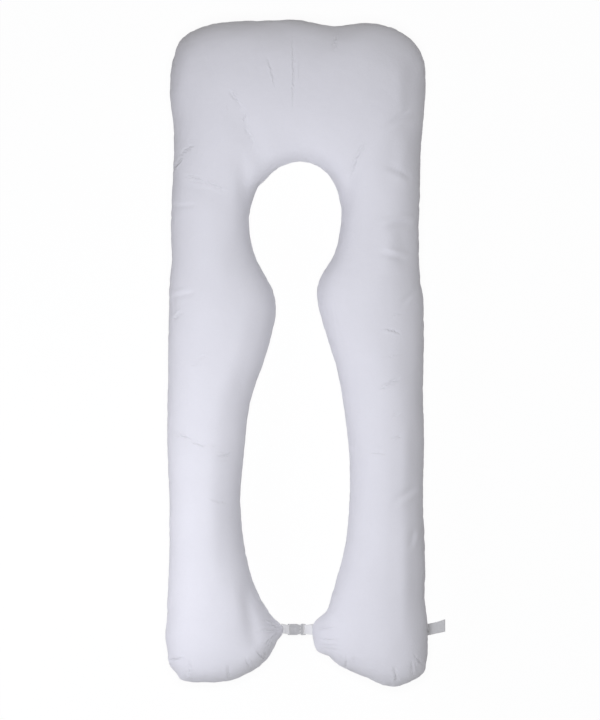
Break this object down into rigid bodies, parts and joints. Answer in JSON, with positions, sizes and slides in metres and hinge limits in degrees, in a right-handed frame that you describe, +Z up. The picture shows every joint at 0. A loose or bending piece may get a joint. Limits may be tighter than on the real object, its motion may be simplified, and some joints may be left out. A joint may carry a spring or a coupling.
{
  "type": "body pillow",
  "caption": "Long U-shaped body pillow with a rounded closed end, a keyhole inner opening, and contoured legs whose feet are drawn together by a short buckled strap.",
  "frame": {"origin": "on the surface the pillow lies on, at the middle of the whole part's length and width, tail included", "axes": "+Y towards the closed end that goes round the head, +X towards the side where the strap's tail sticks out, +Z up from the surface"},
  "size_m": [0.6322, 1.5012, 0.165],
  "materials": {
    "cover_cotton": "plain white woven cotton, matt",
    "white_webbing": "white ribbed woven webbing, matt",
    "grey_plastic": "moulded grey plastic, satin"
  },
  "bodies": {
    "root": {"pillow": "cover_cotton", "tip_strap": "white_webbing", "adjusting_strap": "white_webbing", "buckle_socket": "grey_plastic", "buckle_clip": "grey_plastic"}
  },
  "joints": []
}
